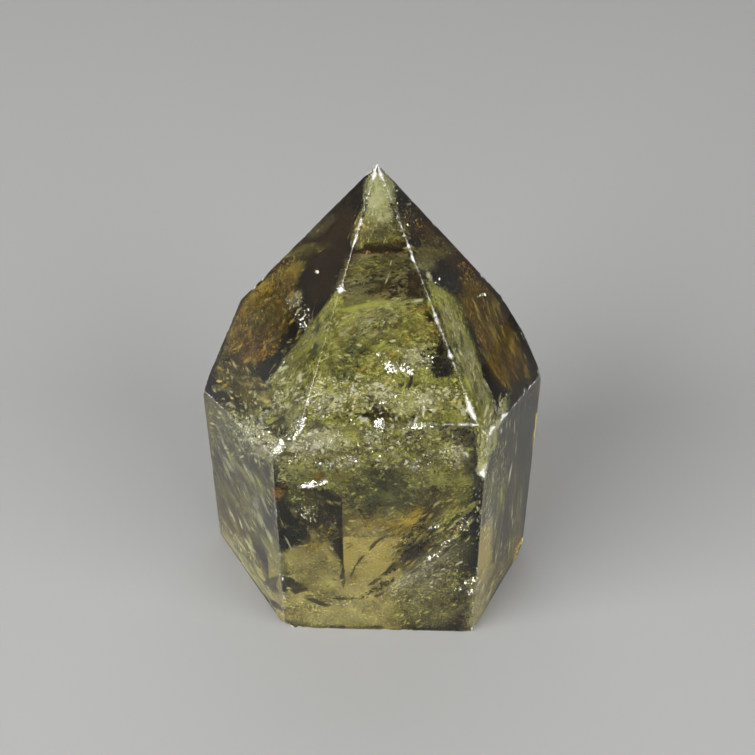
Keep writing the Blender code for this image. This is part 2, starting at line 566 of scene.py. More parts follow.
class Look:
    """What a patch is made of: flake size in mm, two tints that mix, its nearest and farthest depth in mm
    under the face, the finish of its flakes, the share of its cover that they give, and the size of its
    mottling in mm. The rest of the cover is soft veils. Some looks are painted shade or painted reflected
    light rather than inclusions."""

    def __init__(self, size, tint, other, depth, finish="veil", share=0.4, mottle=1.2):
        self.size, self.tint, self.other, self.depth = size, np.array(tint), np.array(other), depth
        self.finish, self.share, self.mottle = finish, share, mottle


# Painted reflected light: a milky pale that stands for light reflected at the tip and up from the base.
MILKY_REFLECTION = Look(0.12, (0.76, 0.77, 0.44), (0.50, 0.51, 0.24), (0.4, 2.0), "veil", 0.03, 2.5)
MIST = Look(0.13, (0.36, 0.34, 0.14), (0.17, 0.155, 0.06), (0.5, 3.0), "veil", 0.06, 1.6)
KHAKI = Look(0.14, (0.80, 0.72, 0.29), (0.48, 0.42, 0.15), (0.4, 3.0), "veil", 0.08, 1.8)
OLIVE_VEIL = Look(0.15, (0.65, 0.66, 0.16), (0.31, 0.30, 0.06), (0.4, 2.5), "veil", 0.18, 1.2)
PALE_VEIL = Look(0.15, (0.94, 0.93, 0.64), (0.62, 0.60, 0.25), (0.3, 1.8), "veil", 0.22, 0.8)
GREEN_VEIL = Look(0.16, (0.20, 0.21, 0.06), (0.08, 0.08, 0.025), (0.4, 2.0), "veil", 0.14, 0.9)
OCHRE = Look(0.15, (0.67, 0.51, 0.08), (0.32, 0.23, 0.03), (0.4, 2.0), "veil", 0.16, 1.0)
AMBER = Look(0.15, (0.46, 0.29, 0.015), (0.13, 0.075, 0.006), (0.5, 2.2), "veil", 0.15, 1.1)
RUST = Look(0.15, (0.50, 0.25, 0.02), (0.17, 0.08, 0.006), (0.4, 2.2), "veil", 0.13, 0.9)
BROWN = Look(0.15, (0.13, 0.085, 0.02), (0.045, 0.03, 0.01), (0.4, 2.0), "veil", 0.10, 0.9)
FERN = Look(0.15, (0.17, 0.21, 0.07), (0.08, 0.09, 0.03), (0.1, 0.5), "veil", 0.10, 1.5)
MOSS = Look(0.15, (0.36, 0.32, 0.07), (0.17, 0.14, 0.03), (0.4, 2.2), "veil", 0.10, 1.2)
# Painted shade: a dark brown sheet deep behind the pyramid faces, darkening what shows through them.
PAINTED_SHADE_UMBER = Look(0.20, (0.060, 0.034, 0.010), (0.030, 0.018, 0.006), (2.2, 3.4), "veil", 0.0, 2.5)
SMOKE = Look(0.18, (0.035, 0.03, 0.018), (0.015, 0.013, 0.008), (0.3, 1.2), "veil", 0.20, 0.8)
# Painted shade: a near-black sheet deep behind the prism sides, darkening what shows through them.
PAINTED_SHADE_DUSK = Look(0.20, (0.05, 0.045, 0.02), (0.02, 0.018, 0.01), (2.2, 3.4), "veil", 0.02, 1.5)
PALE_THREAD = Look(0.15, (0.97, 0.96, 0.76), (0.60, 0.58, 0.32), (0.2, 1.6), "veil", 0.80, 0.8)
OLIVE_THREAD = Look(0.15, (0.46, 0.44, 0.10), (0.20, 0.19, 0.04), (0.2, 2.0), "veil", 0.80, 0.8)
OCHRE_THREAD = Look(0.15, (0.54, 0.41, 0.08), (0.26, 0.18, 0.03), (0.2, 2.0), "veil", 0.80, 0.8)
DARK_THREAD = Look(0.16, (0.045, 0.045, 0.025), (0.02, 0.018, 0.01), (0.1, 1.4), "veil", 0.80, 0.8)
# Real cracks with a painted dark reflection: the darkness stands for what a crack reflects.
PAINTED_DARK_CRACK = Look(0.20, (0.04, 0.035, 0.018), (0.015, 0.013, 0.008), (0.1, 0.7), "veil", 1.0, 0.8)
FROST = Look(0.17, (0.97, 0.97, 0.86), (0.86, 0.85, 0.55), (0.2, 1.4), "veil", 0.55, 0.6)
GLINT = Look(0.18, (0.90, 0.90, 0.86), (0.50, 0.52, 0.42), (0.3, 1.5), "glint", 0.75, 0.4)
SPARK = Look(0.13, (0.92, 0.92, 0.86), (0.50, 0.50, 0.38), (0.3, 2.5), "glint", 1.0, 0.4)

# The patches: what it is, its look, its middle pixel, its half length and half width in pixels, the way its
# length leans in degrees, how much of it is covered, and how streaky it is. Those of the cloud end at its
# straight left border.
CLOUD_PATCHES = (
    ("pale streaks under it", OLIVE_VEIL, (362, 318), (34, 9), 32, 0.90, 4),
    ("yellow streak", OCHRE, (412, 312), (18, 6), 10, 0.80, 4),
    ("cloud, upper left", OLIVE_VEIL, (345, 335), (34, 22), 50, 0.90, 3),
    ("cloud, upper right", OLIVE_VEIL, (405, 330), (34, 20), -20, 0.92, 2.5),
    ("cloud, middle", OLIVE_VEIL, (375, 362), (46, 26), 15, 0.90, 2),
    ("cloud, lower left", OLIVE_VEIL, (335, 398), (36, 26), 30, 0.90, 2),
    ("cloud, lower right", OLIVE_VEIL, (425, 392), (48, 28), -10, 0.90, 2),
    ("pale mottling, left", PALE_VEIL, (330, 392), (30, 16), 20, 0.45, 1.5),
    ("pale mottling, middle", PALE_VEIL, (385, 392), (34, 18), -10, 0.45, 1.5),
    ("pale mottling, right", PALE_VEIL, (425, 400), (36, 14), 10, 0.40, 1.5),
    ("sparks over the cloud", SPARK, (385, 392), (58, 18), 0, 0.05, 1),
    ("cream patch", PALE_VEIL, (322, 387), (16, 9), 30, 0.75, 1),
    ("frosty flecks, left", FROST, (332, 404), (26, 12), 25, 0.34, 1.5),
    ("frosty flecks, middle", FROST, (352, 398), (20, 12), 60, 0.32, 2),
    ("frosty flecks, right", FROST, (412, 398), (30, 10), 0, 0.28, 2),
    ("frosty flecks by the facet", FROST, (416, 360), (16, 9), -30, 0.36, 1),
    ("upright pale streaks", PALE_VEIL, (428, 385), (22, 10), 80, 0.55, 4),
    ("arched streaks", PALE_VEIL, (352, 322), (28, 8), 40, 0.45, 5),
    ("arched streaks, dark", BROWN, (345, 330), (26, 5), 45, 0.35, 5),
    ("brown patch", BROWN, (372, 345), (22, 8), -10, 0.35, 2),
    ("ochre patch", OCHRE, (398, 342), (20, 8), 10, 0.35, 2),
    ("olive arcs", OLIVE_THREAD, (365, 330), (44, 18), 36, 0.40, 5),
    ("dark arcs", DARK_THREAD, (372, 338), (44, 20), 30, 0.14, 4),
    ("pale arcs", PALE_THREAD, (370, 325), (44, 16), 34, 0.20, 5),
    ("brown arcs, right", OCHRE_THREAD, (412, 330), (30, 14), -20, 0.35, 4),
    ("olive threads in the cloud", OLIVE_THREAD, (298, 358), (52, 22), 53, 0.40, 5),
    ("dark threads in the cloud", DARK_THREAD, (298, 362), (52, 22), 53, 0.12, 5),
    ("pale streaks in the cloud", PALE_VEIL, (305, 345), (44, 14), 53, 0.38, 6),
    ("brown streaks in the cloud", BROWN, (300, 355), (40, 14), 53, 0.15, 6),
    ("ochre in the cloud", OCHRE, (305, 372), (24, 12), 40, 0.40, 3),
    ("frosty flecks, left foot", FROST, (272, 405), (26, 10), 30, 0.26, 1.5),
    ("cloud beside the front edge", OLIVE_VEIL, (303, 352), (58, 26), 53, 0.98, 3),
    ("cloud, left foot", OLIVE_VEIL, (272, 392), (34, 24), 35, 0.90, 2.5),
    ("white streak on its border", GLINT, (283, 360), (11, 2.4), 68, 1.3, 1),
    ("pale border", PALE_VEIL, (276, 374), (12, 4), 60, 0.8, 1),
    ("green spot", GREEN_VEIL, (310, 377), (6, 4), 0, 0.85, 1),
    ("brown spot", BROWN, (302, 383), (9, 6), 20, 0.60, 1),
)

PATCHES = (
    # The front pyramid face.
    # Painted reflection: these three paint the tip's milky lighter reflection of light as pale veils.
    ("painted reflection in the tip", MILKY_REFLECTION, (379, 186), (30, 15), 90, 0.96, 1),
    ("painted reflection across the tip", MILKY_REFLECTION, (380, 207), (24, 14), 80, 0.85, 1),
    ("painted reflection under the tip", KHAKI, (374, 222), (22, 12), 20, 0.40, 2),
    ("shade under the tip", MIST, (384, 230), (26, 14), 0, 0.75, 2),
    ("brown shade under the tip", BROWN, (398, 218), (16, 5), -65, 0.40, 2),
    ("olive under the tip", MOSS, (384, 238), (28, 9), 0, 0.80, 3),
    ("glow by the left edge", KHAKI, (366, 228), (20, 9), 60, 0.70, 2),
    ("dark band", BROWN, (388, 244), (26, 5), 2, 0.50, 4),
    ("brown veil over the band", BROWN, (398, 258), (26, 8), -8, 0.45, 3),
    ("streaks in the band", BROWN, (372, 270), (34, 7), 8, 0.40, 6),
    ("rust line", RUST, (381, 253), (30, 2.2), 1, 0.45, 5),
    ("grey band", MIST, (380, 264), (34, 10), 3, 0.85, 5),
    ("grey band, lower", MIST, (360, 284), (26, 12), 12, 0.90, 4),
    ("dark under the arcs", BROWN, (390, 291), (28, 10), 8, 0.92, 4),
    ("dark under the arcs, deep", SMOKE, (398, 288), (20, 7), 4, 0.60, 3),
    ("grey under the arcs", MIST, (356, 298), (20, 7), 16, 0.85, 4),
    ("grey band, right end", MIST, (419, 265), (17, 12), 6, 0.97, 3),
    ("dark corner", BROWN, (415, 287), (16, 11), -50, 0.85, 2),
    ("dark streaks", BROWN, (378, 286), (26, 8), 16, 0.70, 4),
    ("pale top of the cloud", OLIVE_VEIL, (380, 306), (44, 7), 6, 0.85, 4),
    ("curved grey veil", PALE_VEIL, (414, 347), (28, 6), 8, 0.70, 2),
    ("curved grey veil, end", PALE_VEIL, (390, 355), (10, 5), 50, 0.55, 2),
    ("dark under the veil", BROWN, (436, 337), (14, 7), -20, 0.75, 1),
    # The next two: cracks with a painted dark reflection.
    ("brown hollow", PAINTED_DARK_CRACK, (442, 368), (12, 9), -10, 0.85, 1),
    ("brown hollow, upper", PAINTED_DARK_CRACK, (430, 352), (12, 4), 10, 0.50, 1),
    ("green shade", FERN, (351, 362), (20, 8), 80, 0.80, 2),
    ("green glint", GREEN_VEIL, (400, 362), (8, 5), 0, 0.70, 1),
    ("brightest facet", GLINT, (392, 367), (10, 5), -10, 1.60, 1),
    ("brightest facet, right", GLINT, (407, 370), (7, 5), -50, 1.50, 1),
    ("sparks by the veil", SPARK, (420, 358), (20, 9), -30, 0.22, 1),
    ("white specks", SPARK, (381, 356), (5, 7), 0, 0.50, 1),
    ("white flake", GLINT, (380, 425), (7, 4), -60, 1.4, 1),
    ("white line on the shoulder", GLINT, (417, 427), (14, 1.6), 2, 1.2, 1),
    ("fine dark threads in the band", DARK_THREAD, (384, 280), (36, 10), 14, 0.30, 5),
    ("fine threads in the band", OLIVE_THREAD, (378, 268), (36, 12), 8, 0.35, 6),
    # The left pyramid face.
    ("olive band, left", MOSS, (300, 252), (34, 6), 12, 0.70, 4),
    # Painted shade: a dark sheet deep behind the left pyramid face.
    ("painted shade deep in the left pyramid", PAINTED_SHADE_UMBER, (296, 262), (84, 44), 46, 0.97, 2),
    ("amber threads", OCHRE_THREAD, (262, 316), (44, 24), 50, 0.40, 3),
    ("dark threads in the amber", DARK_THREAD, (264, 322), (44, 24), 55, 0.22, 3),
    ("ochre at its foot", OCHRE, (250, 398), (16, 8), -30, 0.40, 2),
    ("bright ochre", OCHRE, (288, 272), (20, 14), 40, 0.90, 2),
    ("amber, upper", OCHRE, (264, 294), (32, 16), 42, 0.88, 2.5),
    ("amber, middle", AMBER, (264, 320), (42, 26), 52, 0.94, 2.5),
    ("amber, lower", RUST, (256, 343), (26, 16), 40, 0.80, 2),
    ("amber, outer", OCHRE, (240, 322), (28, 9), 55, 0.70, 2),
    ("grey sparkles", PALE_VEIL, (294, 300), (14, 8), 50, 0.50, 1),
    ("grey sparkles, bright", SPARK, (294, 300), (13, 9), 50, 0.06, 1),
    ("sparkles by the edge", SPARK, (317, 272), (3, 2), 0, 0.4, 1),
    ("sparks on the dark", SPARK, (303, 318), (9, 12), 0, 0.12, 1),
    ("dark mottling in the amber", BROWN, (262, 330), (38, 22), 50, 0.14, 2),
    ("mottled dark olive", GREEN_VEIL, (237, 372), (26, 18), -35, 0.55, 2.5),
    ("mottled ochre", OCHRE, (235, 378), (24, 14), -35, 0.25, 2),
    ("yellow bar", OCHRE, (259, 385), (9, 3.4), 0, 1.0, 1),
    ("dark line", SMOKE, (240, 354), (24, 2), -38, 0.8, 1),
    ("dark under the bar", SMOKE, (264, 401), (14, 8), -60, 0.85, 1),
    ("khaki at the top left", KHAKI, (320, 225), (24, 9), 42, 0.16, 2),
    # The right pyramid face.
    # Painted shade: a dark sheet deep behind the right pyramid face.
    ("painted shade deep in the right pyramid", PAINTED_SHADE_UMBER, (466, 270), (88, 40), -47, 0.97, 2),
    ("specks near the tip", SPARK, (402, 203), (34, 9), -55, 0.03, 1),
    ("olive amber", MOSS, (432, 249), (24, 11), 0, 0.90, 3),
    ("brown above it", AMBER, (418, 228), (20, 10), -50, 0.55, 2),
    ("black oval", SMOKE, (447, 280), (17, 12), -35, 0.88, 1),
    ("sparks on the oval", SPARK, (444, 282), (12, 8), 0, 0.10, 1),
    ("pale streak", PALE_VEIL, (429, 276), (9, 2.6), -70, 0.7, 1),
    ("olive by the oval", AMBER, (466, 272), (18, 8), -50, 0.55, 2),
    ("pale wedge, top", OLIVE_VEIL, (445, 303), (30, 11), -50, 0.95, 3),
    ("pale wedge, middle", OLIVE_VEIL, (462, 345), (42, 13), -72, 0.95, 3),
    ("pale wedge, foot", OLIVE_VEIL, (476, 395), (34, 12), -76, 0.93, 3),
    ("wedge highlights", PALE_VEIL, (462, 350), (62, 8), -70, 0.40, 3),
    ("foot highlights", PALE_VEIL, (484, 392), (30, 8), -72, 0.45, 3),
    ("deep amber", RUST, (500, 350), (44, 19), -66, 0.93, 4),
    ("deep amber, glow", OCHRE, (502, 344), (34, 9), -66, 0.35, 4),
    ("deep amber, upper", AMBER, (482, 308), (34, 17), -54, 0.85, 3),
    ("brown streaks", BROWN, (507, 352), (42, 14), -72, 0.25, 4),
    ("brown, far right", BROWN, (522, 372), (26, 10), -60, 0.45, 3),
    ("white chip in the side", GLINT, (527, 341), (8, 2), -55, 1.1, 1),
    ("white spot", GLINT, (524, 389), (2.5, 2), 0, 1.4, 1),
    ("scratch", GLINT, (482, 295), (6, 1.2), 15, 0.6, 1),
    ("amber threads, right", OCHRE_THREAD, (498, 345), (44, 18), -66, 0.34, 5),
    ("dark threads, right pyramid", DARK_THREAD, (502, 350), (46, 20), -66, 0.38, 5),
    ("pale threads in the wedge", PALE_THREAD, (464, 352), (56, 10), -70, 0.24, 6),
    # The front prism face.
    ("band under the shoulder", OLIVE_VEIL, (375, 447), (98, 24), 0, 0.90, 1.5),
    ("band, lower part", OLIVE_VEIL, (372, 478), (92, 18), 0, 0.70, 1.5),
    ("dark in the band", BROWN, (425, 440), (40, 12), 10, 0.40, 2),
    ("dark shoulder", SMOKE, (412, 436), (20, 5), 5, 0.45, 2),
    ("brown haze in the band", BROWN, (355, 462), (30, 16), 0, 0.35, 1.5),
    ("pale cluster, left", PALE_VEIL, (322, 445), (28, 14), 10, 0.55, 1.5),
    ("silver cluster", GLINT, (343, 462), (18, 5), 8, 0.30, 1.5),
    ("silver cluster, left", GLINT, (275, 450), (11, 6), 60, 0.45, 1),
    ("white streak", GLINT, (300, 428), (13, 2.2), 62, 0.9, 1),
    ("bubble cluster", PALE_VEIL, (450, 455), (16, 13), 0, 0.55, 1),
    ("bubble cluster, ochre", OCHRE, (446, 462), (20, 14), 0, 0.35, 1),
    ("sparks in the band", SPARK, (360, 446), (88, 26), 0, 0.035, 1),
    ("white flash", GLINT, (313, 484), (13, 2.6), 8, 1.1, 2),
    ("rust by the flash", RUST, (318, 477), (8, 5), 20, 0.85, 1),
    ("rust, right", RUST, (341, 475), (8, 4), 0, 0.55, 1),
    ("rust, left", RUST, (279, 493), (7, 6), 40, 0.60, 1),
    ("teal shade", GREEN_VEIL, (290, 474), (22, 8), 0, 0.55, 2),
    # Painted shade: these three darken the front face where it shows the dark surroundings through the back.
    ("dark olive", GREEN_VEIL, (375, 491), (40, 21), 0, 0.93, 2),
    ("dark olive, deep", BROWN, (374, 499), (36, 19), 0, 0.88, 1.5),
    ("dark olive threads", DARK_THREAD, (378, 490), (38, 18), 20, 0.40, 2),
    # Painted reflected light: these two paint gold where the base reflects light up through the front face.
    ("gold over the fold", KHAKI, (372, 527), (27, 10), 0, 0.80, 1.5),
    ("ochre over the fold", OCHRE, (376, 522), (28, 9), 8, 0.60, 2),
    # Painted shade: dark where the front face shows the dark surroundings through the back.
    ("dark left", SMOKE, (318, 515), (28, 24), -40, 0.40, 2),
    ("green sparkles", GREEN_VEIL, (308, 513), (12, 9), -40, 0.60, 1),
    ("green sparkles, bright", SPARK, (308, 513), (11, 8), 0, 0.22, 1),
    ("warm streak", OCHRE, (318, 545), (26, 7), 50, 0.45, 3),
    ("rust dots", RUST, (312, 551), (9, 3), 0, 0.5, 1),
    # Painted reflected light: the golden and khaki foot of the front face is light reflected up by the base.
    ("golden", KHAKI, (370, 540), (26, 24), 0, 0.45, 1.5),
    ("golden, right", OCHRE, (400, 530), (22, 16), 30, 0.35, 2),
    ("khaki foot, left", KHAKI, (316, 588), (46, 34), 0, 0.93, 1.5),
    ("khaki foot, middle", KHAKI, (372, 596), (32, 30), 0, 0.75, 1.5),
    ("khaki foot, low", KHAKI, (343, 616), (60, 14), 0, 0.95, 1.5),
    ("painted reflection in the front foot", MILKY_REFLECTION, (335, 610), (44, 18), 0, 0.30, 1.5),
    ("smoky foot, right", MIST, (434, 600), (40, 28), 0, 0.90, 2),
    ("khaki in the smoky foot", KHAKI, (425, 610), (30, 16), 0, 0.35, 2),
    ("dark foot corner", SMOKE, (462, 608), (12, 22), 0, 0.45, 2),
    ("smoky band, right", MIST, (430, 560), (42, 26), 30, 0.60, 3),
    ("dark leaf, rim", PALE_VEIL, (290, 577), (22, 1.6), -20, 0.60, 2),
    ("dark crack, rim", PALE_VEIL, (362, 597), (26, 1.2), 1, 0.60, 2),
    # A crack with a painted dark reflection.
    ("jagged dark, upper", PAINTED_DARK_CRACK, (412, 545), (16, 4), 48, 0.80, 2),
    ("jagged pale edge", PALE_VEIL, (392, 553), (8, 2), 30, 0.8, 1),
    ("vein, white edge", GLINT, (436, 556), (13, 1.8), 32, 1.0, 2),
    ("vein, upper edge", GLINT, (448, 541), (10, 1.4), 32, 0.8, 2),
    ("rust in the vein", RUST, (426, 547), (6, 4), 30, 0.95, 1),
    ("rust by the vein", OCHRE, (455, 532), (14, 5), 30, 0.5, 2),
    ("dark beside the vein", BROWN, (425, 575), (20, 7), 30, 0.75, 2),
    ("white flash, right", GLINT, (434, 527), (5, 2), 10, 1.4, 1),
    ("speck line", SPARK, (465, 584), (16, 3), 28, 0.35, 1),
    ("speck line, foot", SPARK, (470, 592), (4, 3), 0, 0.8, 1),
    ("rust dots, right", RUST, (438, 575), (12, 2), 0, 0.5, 1),
    ("dark right of the band", BROWN, (430, 500), (30, 14), 30, 0.40, 3),
    ("streaks, right", OLIVE_VEIL, (450, 500), (34, 18), 40, 0.55, 4),
    ("sparkles, right", SPARK, (462, 525), (12, 10), 0, 0.12, 1),
    ("brown mottling in the band", BROWN, (362, 452), (84, 20), 0, 0.42, 1.5),
    ("dark mottling in the band", SMOKE, (400, 470), (56, 12), 10, 0.30, 2),
    ("smoky veil by the foot", MIST, (396, 604), (24, 24), 80, 0.70, 2),
    ("smoky veil by the middle", MIST, (404, 500), (26, 16), 30, 0.60, 2),
    ("khaki across the edge", KHAKI, (404, 590), (24, 9), 38, 0.60, 2),
    ("dark foot of the streaks", BROWN, (405, 622), (44, 6), 0, 0.50, 3),
    ("olive threads in the foot", OLIVE_THREAD, (432, 594), (46, 26), 20, 0.40, 2.5),
    ("pale threads in the foot", PALE_THREAD, (420, 585), (46, 20), 30, 0.14, 3),
    ("gold diagonal", OCHRE, (420, 532), (46, 8), 38, 0.60, 4),
    ("gold diagonal, lower", KHAKI, (398, 582), (40, 7), 38, 0.55, 4),
    ("ochre over the right fold", OCHRE, (404, 518), (24, 12), 40, 0.80, 3),
    ("gold over the right fold", KHAKI, (402, 548), (22, 9), 42, 0.75, 3),
    # A crack with a painted dark reflection.
    ("brown over the right fold", PAINTED_DARK_CRACK, (408, 538), (24, 5), 44, 0.55, 4),
    ("moss over the right fold", MOSS, (406, 496), (20, 12), 20, 0.85, 2),
    ("olive diagonal", OLIVE_VEIL, (445, 520), (36, 10), 44, 0.60, 4),
    ("pale diagonal threads", FROST, (425, 566), (44, 8), 36, 0.16, 5),
    # A crack with a painted dark reflection.
    ("dark diagonal", PAINTED_DARK_CRACK, (408, 556), (34, 4), 40, 0.80, 4),
    ("dark diagonal, upper", SMOKE, (440, 508), (30, 4), 42, 0.70, 4),
    # A crack with a painted dark reflection.
    ("dark diagonal, foot", PAINTED_DARK_CRACK, (378, 588), (22, 3), 30, 0.85, 3),
    ("rust streak", RUST, (405, 520), (16, 4), 45, 0.35, 3),
    ("olive flecks, left", OLIVE_VEIL, (300, 500), (22, 12), -40, 0.40, 2),
    ("gold streaks, left", OCHRE, (322, 535), (30, 8), 55, 0.55, 4),
    # Painted reflected light: pale khaki under the fold, where the base reflects light.
    ("khaki streaks, left", KHAKI, (305, 556), (30, 12), 15, 0.85, 3),
    ("dark flecks, left", SMOKE, (292, 535), (16, 10), 40, 0.30, 3),
    # Painted reflected light: these two paint gold along the fold, where the base reflects light.
    ("gold beside the fold", KHAKI, (325, 549), (30, 8), -56, 0.88, 3),
    ("ochre beside the fold", OCHRE, (322, 546), (26, 6), -56, 0.40, 4),
    ("smoky spots in the foot", MIST, (360, 610), (30, 12), 80, 0.45, 2),
    ("frosty cluster, left", FROST, (318, 442), (34, 12), 8, 0.40, 1.5),
    ("frosty cluster, middle", FROST, (372, 438), (20, 9), 0, 0.22, 1.5),
    ("frosty bubbles", FROST, (452, 453), (13, 11), 0, 0.36, 1),
    ("frosty cluster, low", FROST, (345, 462), (22, 7), 8, 0.42, 2),
    ("frosty cluster, right", FROST, (425, 462), (18, 9), 20, 0.28, 1.5),
    # The left prism face.
    # Painted shade: a near-black sheet deep behind the left side.
    ("painted shade behind the left side", PAINTED_SHADE_DUSK, (238, 480), (74, 34), -66, 0.99, 2),
    ("mottled top", OLIVE_VEIL, (232, 428), (30, 22), -30, 0.70, 2),
    ("mottled top, dark", BROWN, (226, 420), (28, 20), -30, 0.55, 1.5),
    ("mottled top, ochre", OCHRE, (226, 425), (22, 14), -30, 0.35, 2),
    ("orange rim", RUST, (209, 446), (22, 3.4), -85, 0.75, 2),
    ("frosty top", FROST, (246, 430), (30, 14), -20, 0.40, 1.5),
    ("grey sparkle cluster", PALE_VEIL, (262, 444), (22, 14), -20, 0.50, 1),
    ("silver sparkles", SPARK, (255, 438), (26, 14), -20, 0.14, 1),
    ("grey-green strands", OLIVE_THREAD, (238, 480), (58, 26), -64, 0.75, 4),
    ("pale strands", PALE_THREAD, (244, 486), (56, 20), -64, 0.34, 5),
    ("ochre strands", OCHRE_THREAD, (232, 492), (52, 18), -66, 0.42, 5),
    ("dark strands", DARK_THREAD, (246, 488), (60, 22), -62, 0.62, 5),
    ("dark streak", DARK_THREAD, (256, 474), (24, 6), -52, 0.85, 3),
    ("dark streak, outer", DARK_THREAD, (219, 486), (44, 6), -74, 0.75, 4),
    ("dark streak, inner", DARK_THREAD, (268, 520), (34, 5), -62, 0.75, 4),
    ("sparkly spot", FROST, (255, 500), (10, 8), -50, 0.50, 1),
    ("amber above the foot", OCHRE, (228, 516), (30, 9), -64, 0.60, 4),
    ("dark corner by the edge", GREEN_VEIL, (272, 552), (34, 9), -64, 0.75, 3),
    # Painted reflected light: the pale and milky foot of the left side is light reflected up by the base.
    ("pale foot", KHAKI, (238, 560), (42, 18), -56, 0.90, 3),
    ("pale strands in the foot", PALE_THREAD, (236, 548), (36, 10), -60, 0.30, 5),
    ("milky foot", MILKY_REFLECTION, (240, 568), (36, 12), -54, 0.92, 2),
    ("painted reflection in the left foot, brightest", PALE_VEIL, (234, 557), (18, 9), -54, 0.75, 2),
    ("khaki to the corner", KHAKI, (272, 602), (24, 9), -50, 0.80, 2),
    # The right prism face.
    # Painted shade: a near-black sheet deep behind the right side.
    ("painted shade behind the right side", PAINTED_SHADE_DUSK, (512, 455), (92, 26), 84, 0.99, 2),
    ("pale fork, right", PALE_VEIL, (500, 414), (26, 5), 66, 0.85, 2),
    ("pale fork", OLIVE_VEIL, (490, 432), (30, 10), 80, 0.92, 2),
    ("pale fork, strands", PALE_THREAD, (492, 428), (32, 8), 74, 0.50, 4),
    ("chip glow", PALE_VEIL, (483, 462), (14, 6), 80, 0.80, 1),
    ("dark strands, right", DARK_THREAD, (518, 430), (56, 15), 87, 0.88, 6),
    ("dark far side", DARK_THREAD, (530, 470), (76, 8), 87, 0.97, 5),
    ("far side veil", SMOKE, (531, 470), (80, 8), 87, 0.98, 4),
    ("far side, foot", BROWN, (520, 560), (38, 9), 70, 0.95, 4),
    ("blue-grey strands", OLIVE_THREAD, (500, 480), (60, 10), 85, 0.55, 6),
    ("pale strands, right", PALE_THREAD, (496, 490), (60, 9), 84, 0.34, 6),
    ("ochre strands, right", OCHRE_THREAD, (519, 520), (52, 9), 82, 0.60, 6),
    ("amber by the far side", OCHRE, (522, 500), (46, 6), 84, 0.60, 5),
    ("dark spindle, right", DARK_THREAD, (505, 518), (22, 4), 86, 0.90, 3),
    ("dark strands, low", DARK_THREAD, (500, 540), (40, 8), 82, 0.50, 5),
    # Painted reflected light: these two paint the pale foot of the right side, lit by the base's reflection.
    ("pale foot wedge", KHAKI, (486, 590), (42, 12), 64, 0.92, 3),
    ("painted reflection in the right foot wedge", MILKY_REFLECTION, (484, 598), (34, 8), 64, 0.55, 2),
    ("strands in the wedge", OCHRE_THREAD, (496, 578), (40, 8), 64, 0.40, 5),
    ("pale strands in the wedge", PALE_THREAD, (488, 585), (40, 6), 66, 0.34, 5),
)


DEEPEST_SHARE = 0.6  # of the way through the crystal, for any inclusion
SAME_FACE = 1e-6  # the normals of places behind one face differ by less
FLAKE_FILL = 0.30  # roughly a flake's area, as a share of its size squared
FLAKE_LIMITS = (0.06, 0.5)  # the smallest and the largest flake, in mm


def toward(light, normal):
    """The direction to a light as seen from inside the crystal, through a face."""
    d = unit(np.array(LIGHTS[light][0]))
    along = (d - (normal @ d)[:, None] * normal) / QUARTZ_IOR
    return along + normal * np.sqrt(1 - (along ** 2).sum(1, keepdims=True))


def turned(x, y, along, across, c, s):
    """Pixels at distances along and across a direction through x, y that leans up by the angle of cosine c
    and sine s."""
    return x + along * c + across * s, y - along * s + across * c


def patch_frame(middle, half, lean, streak, u, v, depth, seed):
    """Places of a patch from its own coordinates, 1 at its rim: pixels, and a place for its noise."""
    along, across = half[0] * u, half[1] * v
    c, s = math.cos(math.radians(lean)), math.sin(math.radians(lean))
    grain = np.stack([along * PIXEL / streak, across * PIXEL, depth], 1) + seed * 0.037
    return *turned(*middle, along, across, c, s), grain


def inside_at(x, y, depth):
    """Points at a depth along the sight lines of pixels, kept to the near part of thin places, with the
    direction inward and the normal of the face in front of each."""
    entry, inner, length, normal = sight(x, y)
    return entry + inner * np.minimum(depth, DEEPEST_SHARE * length)[:, None], inner, normal


def lean_direction(lean):
    """The direction in space of a patch's length, across the line of sight."""
    c, s = math.cos(math.radians(lean)), math.sin(math.radians(lean))
    return np.array([c, s * math.sin(CAMERA_DOWN), s * math.cos(CAMERA_DOWN)])


def inside_border(x, y):
    """From 0 to 1 over two pixels: whether a pixel is on the cloud's side of its straight left border."""
    (x0, y0), (x1, y1) = CLOUD_LEFT
    away = ((x - x0) * (y1 - y0) - (y - y0) * (x1 - x0)) / math.hypot(x1 - x0, y1 - y0)
    return np.clip(away / 2 + 0.5, 0, 1)


def rim_size(half):
    """The size of the lobes of a patch's ragged rim."""
    return 0.6 * math.sqrt(half[0] * half[1]) * PIXEL


def tint_of(look, grain, seed):
    """The two tints of a look, mottled."""
    tone = fractal(grain, look.mottle * MM, seed + 5, 4)
    blend = np.clip(0.5 + 5.0 * (tone - 0.5), 0, 1)[:, None]
    return look.tint * blend + look.other * (1 - blend)


